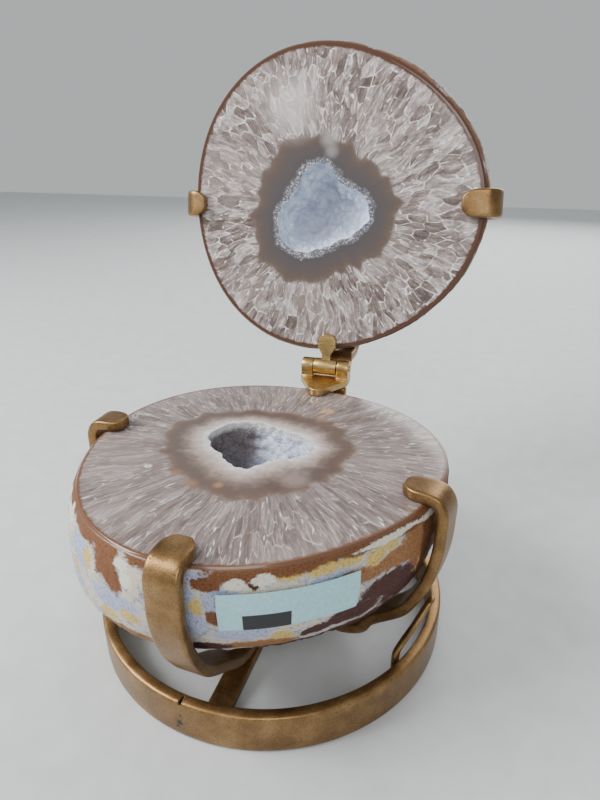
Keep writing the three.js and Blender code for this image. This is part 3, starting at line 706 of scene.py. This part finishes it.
# %% Gold paint
def gold_paint(name, spots=()):
    """Satin metallic paint with grain 0.5 mm wide; spots are stains: (x, y, z, radius)."""
    made, tree, shader = new_material(name)
    base = add(tree, "ShaderNodeTexCoord").outputs["Object"]
    place = add(tree, "ShaderNodeMapping", {"Vector": base, "Scale": (1000, 1000, 1000)}).outputs[0]
    cloud = add(tree, "ShaderNodeTexNoise", {"Vector": place, "Scale": 0.11, "Detail": 4.0})
    grain = add(tree, "ShaderNodeTexNoise", {"Vector": place, "Scale": 1.9, "Detail": 3.0})
    shade = add(tree, "ShaderNodeValToRGB", {"Fac": cloud.outputs["Fac"]},
                [(0.3, "#775a39"), (0.5, "#8f6f47"), (0.7, "#a5845a")]).outputs["Color"]
    speckle = between(tree, grain.outputs["Fac"], 0.36, 0.62, 0.72, 1.0)
    tint = add(tree, "ShaderNodeCombineColor", {0: speckle, 1: speckle, 2: speckle}).outputs[0]
    shade = blend(tree, 1.0, shade, tint, "MULTIPLY")
    chips = add(tree, "ShaderNodeTexVoronoi", {"Vector": place, "Scale": 0.22})
    chip = between(tree, chips.outputs["Distance"], 0.03, 0.09, 0.75, 0.0)
    shade = blend(tree, chip, shade, colour("#4b3a22"))
    for x, y, z, radius in spots:
        gap = add(tree, "ShaderNodeVectorMath", {0: place, 1: (x, y, z)}, operation="DISTANCE")
        ragged = add(tree, "ShaderNodeMath", {0: grain.outputs["Fac"], 1: radius,
                                              2: gap.outputs["Value"]}, operation="MULTIPLY_ADD")
        dark_patch = between(tree, ragged.outputs[0], radius, radius * 1.7, 0.9, 0.0)
        shade = blend(tree, dark_patch, shade, colour("#2b3027"))
    tree.links.new(shade, shader.inputs["Base Color"])
    shader.inputs["Metallic"].default_value = 0.88
    satin = between(tree, cloud.outputs["Fac"], 0.3, 0.7, 0.3, 0.42)
    tree.links.new(satin, shader.inputs["Roughness"])
    height = add(tree, "ShaderNodeMath", {0: chip, 1: -1.5, 2: grain.outputs["Fac"]},
                 operation="MULTIPLY_ADD")
    bump = add(tree, "ShaderNodeBump", {"Height": height.outputs[0], "Distance": 0.12 * MM,
                                        "Strength": 0.5})
    tree.links.new(bump.outputs["Normal"], shader.inputs["Normal"])
    return made


# %% Brushed brass
def brushed_brass(name):
    """Solid brass with brush lines 0.3 mm apart along X."""
    made, tree, shader = new_material(name)
    base = add(tree, "ShaderNodeTexCoord").outputs["Object"]
    lines = add(tree, "ShaderNodeMapping", {"Vector": base, "Scale": (250, 3200, 3200)}).outputs[0]
    brush = add(tree, "ShaderNodeTexNoise", {"Vector": lines, "Scale": 1.0, "Detail": 2.0})
    cloud = add(tree, "ShaderNodeTexNoise", {"Vector": base, "Scale": 170.0, "Detail": 3.0})
    shade = add(tree, "ShaderNodeValToRGB", {"Fac": cloud.outputs["Fac"]},
                [(0.3, "#a98a58"), (0.55, "#c2a26a"), (0.8, "#d8bb86")])
    tree.links.new(shade.outputs["Color"], shader.inputs["Base Color"])
    shader.inputs["Metallic"].default_value = 1.0
    rough = between(tree, brush.outputs["Fac"], 0.3, 0.7, 0.26, 0.42)
    tree.links.new(rough, shader.inputs["Roughness"])
    bump = add(tree, "ShaderNodeBump", {"Height": brush.outputs["Fac"], "Distance": 0.05 * MM,
                                        "Strength": 0.4})
    tree.links.new(bump.outputs["Normal"], shader.inputs["Normal"])
    return made


painted_steel = gold_paint("gold_painted_mild_steel")
seam_steel = gold_paint("gold_painted_mild_steel_with_seam",
                        [(-7.8, -69.6, 6.5, 1.4), (-8.6, -69.4, 4.6, 0.8), (-7.3, -69.6, 10, 0.5),
                         (-7.1, -69, 15.6, 1.1)])
brass = brushed_brass("brushed_brass")

# %% [markdown]
# ## Ring and crossbar
#
# The ring is a flat bar bent into a hoop, with its ends butted at the front left, where a small
# notch is left in the top edge. It is drawn as a circle that is extruded upwards, thickened with
# Solidify and rounded by Subdivision Surface: two loops close to the edges keep the sides flat.
# The crossbar is a copy of the frame's bar with its edges broken by a bevel.

# %% Helpers for finished pieces
def apply_modifier(thing, name, kind, **settings):
    """Adds a modifier, sets it and applies it."""
    modifier = thing.modifiers.new(name, kind)
    for key, value in settings.items():
        setattr(modifier, key, value)
    bpy.context.view_layer.objects.active = thing
    bpy.ops.object.modifier_apply(modifier=modifier.name)


def finish_piece(thing, replaced, finish, body):
    """Gives a piece its material, hides the frame part it replaces and attaches it to the body it moves
    with.
    """
    thing.data.materials.clear()
    thing.data.materials.append(finish)
    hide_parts(replaced)
    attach(thing, body)


def round_off(thing, levels=2):
    """Rounds a piece and shades it smooth."""
    apply_modifier(thing, "round", "SUBSURF", levels=levels, render_levels=levels)
    deselect()
    thing.select_set(True)
    bpy.context.view_layer.objects.active = thing
    bpy.ops.object.shade_smooth()


# %% Ring
RING_RADIUS, RING_WALL, RING_HEIGHT = 70, 4.5, 16
EDGE_LOOP = 1.5

deselect()
bpy.ops.mesh.primitive_circle_add(vertices=120, radius=(RING_RADIUS - RING_WALL / 2) * MM)
ring_bar = bpy.context.object
ring_bar.name = "ring_bar"
bpy.ops.object.mode_set(mode="EDIT")
bpy.ops.mesh.select_all(action="SELECT")
for rise in (EDGE_LOOP, RING_HEIGHT - 2 * EDGE_LOOP, EDGE_LOOP):
    bpy.ops.mesh.extrude_region_move(TRANSFORM_OT_translate={"value": (0, 0, rise * MM)})
bpy.ops.object.mode_set(mode="OBJECT")
apply_modifier(ring_bar, "wall", "SOLIDIFY", thickness=RING_WALL * MM, offset=0)
round_off(ring_bar)

# %% Notch at the butted ends
SEAM = math.radians(-95.8)
deselect()
bpy.ops.mesh.primitive_cone_add(vertices=5, radius1=0.25 * MM, radius2=1.3 * MM, depth=6 * MM,
                                location=(math.cos(SEAM) * 68.5 * MM, math.sin(SEAM) * 68.5 * MM,
                                          (RING_HEIGHT + 0.4) * MM), rotation=(0.25, 0.15, 0))
notch = bpy.context.object
notch.scale = (0.55, 3.2, 1)
bpy.ops.object.transform_apply(location=True, rotation=True, scale=True)
apply_modifier(ring_bar, "notch", "BOOLEAN", object=notch, operation="DIFFERENCE")
bpy.data.objects.remove(notch)
finish_piece(ring_bar, "base_ring", seam_steel, "stand")
print("ring:", len(ring_bar.data.polygons), "faces")

# %% Copies of the frame's small pieces
def dressed_copy(node, name, edge, finish, body):
    """Copies a frame piece, merges its loose triangles and breaks its edges with a bevel."""
    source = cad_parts[node]
    copy = bpy.data.objects.new(name, source.data.copy())
    bpy.context.scene.collection.objects.link(copy)
    deselect()
    copy.select_set(True)
    bpy.context.view_layer.objects.active = copy
    bpy.ops.object.mode_set(mode="EDIT")
    bpy.ops.mesh.select_all(action="SELECT")
    bpy.ops.mesh.remove_doubles(threshold=0.01 * MM)
    bpy.ops.mesh.dissolve_limited(angle_limit=math.radians(4))
    bpy.ops.object.mode_set(mode="OBJECT")
    apply_modifier(copy, "edges", "BEVEL", width=edge * MM, segments=3, limit_method="ANGLE",
                   angle_limit=math.radians(32))
    bpy.ops.object.shade_smooth_by_angle(angle=math.radians(40))
    finish_piece(copy, node, finish, body)


dressed_copy("base_crossbar", "crossbar_bar", 0.6, painted_steel, "stand")

# %% [markdown]
# ## Claw arms
#
# Each arm is a strap 12 mm wide that runs along the ring's floor, up round the stone and over its
# edge, where it ends in a rounded hook. The side view of an arm is a line that keeps just off the
# skin, so the line is worked out from the stone itself. A strip is extruded along it edge by edge,
# its free end is narrowed step by step into a half round, and then Solidify gives the thickness
# and Subdivision Surface rounds the edges as the bar's own rolled edges are.

# %% Route helpers
STRAP_WIDTH, STRAP_THICKNESS = 12, 4.2
GAP = 0.35


def smooth_route(points, step):
    """A Catmull-Rom curve through the points, cut into equal steps."""
    points = [np.array(p, float) for p in points]
    ends = [2 * points[0] - points[1], *points, 2 * points[-1] - points[-2]]
    fine = []
    for a, b, c, d in zip(ends, ends[1:], ends[2:], ends[3:]):
        for t in np.arange(0, 1, 0.05):
            fine.append(0.5 * (2 * b + (c - a) * t + (2 * a - 5 * b + 4 * c - d) * t ** 2
                               + (3 * b - a - 3 * c + d) * t ** 3))
    fine = np.array([*fine, points[-1]])
    length = np.concatenate([[0], np.cumsum(np.linalg.norm(np.diff(fine, axis=0), axis=1))])
    count = max(2, round(length[-1] / step))
    even = np.linspace(0, length[-1], count + 1)
    return np.stack([np.interp(even, length, column) for column in fine.T], 1)


def reach(stone, azimuth, depth):
    """The distance of the skin from the ring's axis, looking along an azimuth."""
    shift = STONE_CENTRE[0] * math.cos(azimuth) + STONE_CENTRE[1] * math.sin(azimuth)
    return float(skin_radius(stone, azimuth, depth)) + shift


def outside(stone, azimuth, clearances, slack):
    """Points off the skin, along its normal, for the middle of a strap."""
    points = []
    for depth, clearance in clearances:
        taper = reach(stone, azimuth, depth - 2) - reach(stone, azimuth, depth + 2)
        normal = np.array([4, taper]) / math.hypot(4, taper)
        out = clearance + slack + STRAP_THICKNESS / 2
        points.append((reach(stone, azimuth, depth) + out * normal[0],
                       stone["face"] + stone["side"] * (depth + out * normal[1])))
    return points


# %% Strap maker
def strap(name, route, rounded=True):
    """Extrudes a strip along a route of (distance, height), thickens it and rounds it."""
    step = 1.7
    line = smooth_route(route, step) * MM
    half = STRAP_WIDTH / 2 * MM
    deselect()
    bpy.ops.mesh.primitive_grid_add(x_subdivisions=1, y_subdivisions=3, size=2 * half,
                                    location=(line[0][0] - half, 0, line[0][1]))
    bar = bpy.context.object
    bar.name = name
    bpy.ops.object.transform_apply(location=True, rotation=False, scale=False)
    bpy.ops.object.mode_set(mode="EDIT")
    bpy.ops.mesh.select_mode(type="VERT")
    bpy.ops.mesh.select_all(action="DESELECT")
    bpy.ops.object.mode_set(mode="OBJECT")
    for vertex in bar.data.vertices:
        vertex.select = vertex.co.x < line[0][0] - half
        if abs(vertex.co.y) < half * 0.9:
            vertex.co.y *= 2.35
    bpy.ops.object.mode_set(mode="EDIT")
    bpy.ops.mesh.delete(type="VERT")
    bpy.ops.mesh.select_all(action="SELECT")
    width = 1.0
    for number in range(1, len(line)):
        move = line[number] - line[number - 1]
        bpy.ops.mesh.extrude_region_move(TRANSFORM_OT_translate={"value": (move[0], 0, move[1])})
        left = (len(line) - 1 - number) * step / (STRAP_WIDTH / 2)
        wanted = math.sqrt(max(0.12, 1 - (1 - min(left, 1)) ** 2)) if rounded else 1.0
        if abs(wanted - width) > 1e-4:
            bpy.ops.transform.resize(value=(1, wanted / width, 1),
                                     center_override=(line[number][0], 0, line[number][1]))
        width = wanted
    bpy.ops.object.mode_set(mode="OBJECT")
    apply_modifier(bar, "thickness", "SOLIDIFY", thickness=STRAP_THICKNESS * MM, offset=0,
                   use_even_offset=True)
    round_off(bar)
    return bar


def turn_bar(bar, azimuth, shift=0.0):
    """Turns a strap to its azimuth and slides it sideways, with its place in the mesh."""
    deselect()
    bar.select_set(True)
    bpy.context.view_layer.objects.active = bar
    bar.rotation_euler = (0, 0, azimuth)
    bar.location = (shift * MM, 0, 0)
    bpy.ops.object.transform_apply(location=True, rotation=True, scale=True)


# %% Lower arms
BAR_THICKNESS = 4
ARM_LEVEL = BAR_THICKNESS + GAP + STRAP_THICKNESS / 2
ARM_FOOT = [(30, ARM_LEVEL), (37.5, ARM_LEVEL + 1.2), (44, ARM_LEVEL + 4.8)]
ARM_CLEARANCE = [(52, 3.4), (45, 1.8), (38, 1.2), (31, 1.1), (24, 1), (16, 1), (8, 1)]


def claw_arm(name, replaced, degrees, start, slack, hook_reach):
    """A strap from the middle of the ring, up round the lower stone and over its edge."""
    azimuth = math.radians(degrees)
    curve = outside(lower_stone, azimuth, ARM_CLEARANCE, slack)
    side = curve[-1][0]
    tip = reach(lower_stone, azimuth, 0) - hook_reach
    level = LOWER_FACE + GAP + STRAP_THICKNESS / 2
    hook = [(side, level - 5.2), (side - 1.4, level - 1.9), (side - 4.4, level), (tip, level)]
    bar = strap(name, [(start, ARM_LEVEL), (start + 8, ARM_LEVEL), *ARM_FOOT, *curve, *hook])
    turn_bar(bar, azimuth)
    finish_piece(bar, replaced, painted_steel, "stand")


claw_arm("front_claw", "front_claw_arm", -92.7, 8.4, 0.4, 8.3)
claw_arm("right_claw", "right_claw_arm", -12.5, 1.9, 1.4, 9.5)
claw_arm("left_claw", "left_claw_arm", 180, 0.4, 0.4, 7.5)

SPINE_X = 7
rear_curve = outside(lower_stone, math.pi / 2, ARM_CLEARANCE, 2.4)
rear_start = STRAP_WIDTH / 2 + 2 * GAP
rear_arm = strap("rear_arm", [(rear_start, ARM_LEVEL), (rear_start + 8, ARM_LEVEL), *ARM_FOOT,
                              *rear_curve, (HINGE.y - 3, LOWER_FACE - GAP)], rounded=False)
turn_bar(rear_arm, math.pi / 2, SPINE_X)
finish_piece(rear_arm, "rear_hinge_arm", painted_steel, "stand")
print("lower arms ready")

# %% [markdown]
# ## Struts
#
# A thin bar stands against the inside of the ring and leans up along the back of each side arm. It
# is a flattened circle that is extruded along its route, edge by edge, and rounded.

# %% Struts
STRUT_THICKNESS, STRUT_WIDTH = 2.8, 4.6
STRUT_FOOT, STRUT_HEAD = -15.4, -2.4
STRUT_DEPTH, STRUT_CLEARANCE = 36, 3.3
STRUT_FOOT_HEIGHT = 5


def strut(name, replaced, degrees, slack):
    """A thin bar from the inside of the ring up to the back of a side arm."""
    azimuth = math.radians(degrees)
    clearance = STRUT_CLEARANCE + STRAP_THICKNESS / 2 + GAP
    head = outside(lower_stone, azimuth, [(STRUT_DEPTH, clearance)], slack)[0]
    inner = RING_RADIUS - RING_WALL - GAP - STRUT_THICKNESS / 2
    foot = math.sqrt(inner ** 2 - STRUT_FOOT ** 2)
    route = [(foot, STRUT_FOOT, STRUT_FOOT_HEIGHT), (foot, STRUT_FOOT, RING_HEIGHT - 1),
             (foot + 0.5, STRUT_FOOT + 1, RING_HEIGHT + 2.6),
             ((foot + head[0]) / 2 + 0.6, (STRUT_FOOT + STRUT_HEAD) / 2,
              (RING_HEIGHT + head[1]) / 2 + 1.8),
             (head[0], STRUT_HEAD, head[1])]
    line = smooth_route(route, 1.5) * MM
    deselect()
    bpy.ops.mesh.primitive_circle_add(vertices=12, radius=0.5, fill_type="NGON", location=line[0])
    bar = bpy.context.object
    bar.name = name
    bar.scale = (STRUT_THICKNESS * MM, STRUT_WIDTH * MM, 1)
    bpy.ops.object.transform_apply(location=True, rotation=True, scale=True)
    bpy.ops.object.mode_set(mode="EDIT")
    bpy.ops.mesh.select_all(action="SELECT")
    for move in np.diff(line, axis=0):
        bpy.ops.mesh.extrude_region_move(TRANSFORM_OT_translate={"value": tuple(move)})
    bpy.ops.mesh.select_all(action="SELECT")
    bpy.ops.mesh.normals_make_consistent()
    bpy.ops.object.mode_set(mode="OBJECT")
    round_off(bar)
    turn_bar(bar, azimuth)
    finish_piece(bar, replaced, painted_steel, "stand")


strut("right_strut_bar", "right_strut", -12, 1.6)
strut("left_strut_bar", "left_strut", 180, 1.9)
print("struts ready")

# %% [markdown]
# ## Arms on the lid
#
# Two more straps hook round the upper face, and a third runs from the crown of the dome down to
# the hinge. They are made on the shut stone and turned open with it.

# %% Lid arms
DOME_CLEARANCE = [(30.4, 0.8), (28, 0.9), (24, 0.9), (19, 0.7), (13, 0.6), (6, 0.6)]
DOME_HEIGHT = 32
LID_LEVEL = UPPER_FACE + DOME_HEIGHT + DOME_CLEARANCE[0][1] + STRAP_THICKNESS / 2


def lid_claw_arm(name, replaced, degrees, start, slack, hook_reach):
    """A strap from the top of the dome, down its side and under the upper face."""
    azimuth = math.radians(degrees)
    curve = outside(upper_stone, azimuth, DOME_CLEARANCE, slack)
    side = curve[-1][0]
    tip = reach(upper_stone, azimuth, 0) - hook_reach
    level = UPPER_FACE - GAP - STRAP_THICKNESS / 2
    hook = [(side, level + 5.2), (side - 1.4, level + 1.9), (side - 4.4, level), (tip, level)]
    bar = strap(name, [(start, LID_LEVEL), (start + 7, LID_LEVEL), *curve, *hook])
    turn_bar(bar, azimuth)
    open_lid(bar)
    finish_piece(bar, replaced, painted_steel, "lid")


spine_half = STRAP_WIDTH / 2 + GAP
lid_claw_arm("lid_left_claw", "lid_left_claw_arm", 180, spine_half - SPINE_X, 0.6, 5.8)
lid_claw_arm("lid_right_claw", "lid_right_claw_arm", -3.5, spine_half + SPINE_X + 0.4, 0.3, 9.5)

spine_curve = outside(upper_stone, math.pi / 2, DOME_CLEARANCE, 0.2)
spine = strap("lid_spine", [(-9, LID_LEVEL), (0, LID_LEVEL), (9, LID_LEVEL), *spine_curve,
                            (HINGE.y - 1.2, HINGE.z + 5)], rounded=False)
turn_bar(spine, math.pi / 2, SPINE_X)
open_lid(spine)
finish_piece(spine, "lid_spine_arm", painted_steel, "lid")
print("lid arms ready")

# %% [markdown]
# ## Hinge
#
# The brass hinge has two leaves with knuckles round a pin. Its shape has to turn with the frame,
# so each leaf is a copy of the frame's own piece, and a narrow bevel breaks the edges so that
# they catch the light.

# %% Hinge pieces
dressed_copy("hinge_lower_leaf", "lower_leaf", 0.45, brass, "stand")
dressed_copy("hinge_upper_leaf", "upper_leaf", 0.45, brass, "lid")
dressed_copy("hinge_pin", "pin", 0.25, brass, "stand")

# %% [markdown]
# ## Paper label
#
# A strip of pale blue paper is stuck on the skin. A fine grid is laid on the stone with the same
# formula that shaped it, so that it follows the curve, and Solidify gives it its thickness. The
# grid's own UV map places the plain black block that is printed on it.

# %% Label
LABEL_COLUMNS, LABEL_ROWS = 40, 14
LABEL_LEFT, LABEL_TURN = -79.5, 38
LABEL_OFF_SKIN = 0.75
deselect()
bpy.ops.mesh.primitive_grid_add(x_subdivisions=LABEL_COLUMNS, y_subdivisions=LABEL_ROWS, size=1)
label = bpy.context.object
label.name = "paper_label"
for vertex in label.data.vertices:
    across, rise = vertex.co.x + 0.5, vertex.co.y + 0.5
    azimuth = math.radians(LABEL_LEFT + LABEL_TURN * across)
    bottom = 52.4 - 1.8 * across
    top = 67 - across
    height = bottom + (top - bottom) * rise
    away = float(skin_radius(lower_stone, azimuth, LOWER_FACE - height)) + LABEL_OFF_SKIN
    vertex.co = Vector((STONE_CENTRE[0] + away * math.cos(azimuth),
                        STONE_CENTRE[1] + away * math.sin(azimuth), height)) * MM
apply_modifier(label, "paper", "SOLIDIFY", thickness=0.25 * MM, offset=0)

# %% Paper
paper, tree, shader = new_material("coated_paper_pale_blue")
sheet = add(tree, "ShaderNodeTexCoord")
fibre = add(tree, "ShaderNodeTexNoise", {"Vector": sheet.outputs["Object"], "Scale": 900.0,
                                         "Detail": 3.0})
tint = add(tree, "ShaderNodeValToRGB", {"Fac": fibre.outputs["Fac"]},
           [(0.3, "#9cc7cd"), (0.7, "#aad5db")]).outputs["Color"]
spread = add(tree, "ShaderNodeSeparateXYZ", {"Vector": sheet.outputs["UV"]})
left_of = between(tree, spread.outputs["X"], 0.155, 0.162)
right_of = between(tree, spread.outputs["X"], 0.484, 0.491, 1.0, 0.0)
under = between(tree, spread.outputs["Y"], 0.44, 0.46, 1.0, 0.0)
block = add(tree, "ShaderNodeMath", {0: left_of, 1: right_of}, operation="MULTIPLY").outputs[0]
block = add(tree, "ShaderNodeMath", {0: block, 1: under}, operation="MULTIPLY").outputs[0]
tree.links.new(blend(tree, block, tint, colour("#222426")), shader.inputs["Base Color"])
shader.inputs["Roughness"].default_value = 0.6
finish_piece(label, "shop_label", paper, "stand")

# %% Stones take their places
for stone_piece, node, slot_name, body in ((lower_half, "lower_geode_half", "lower_agate", "stand"),
                                           (upper_half, "upper_geode_half", "upper_agate", "lid")):
    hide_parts(node)
    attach(stone_piece, body)
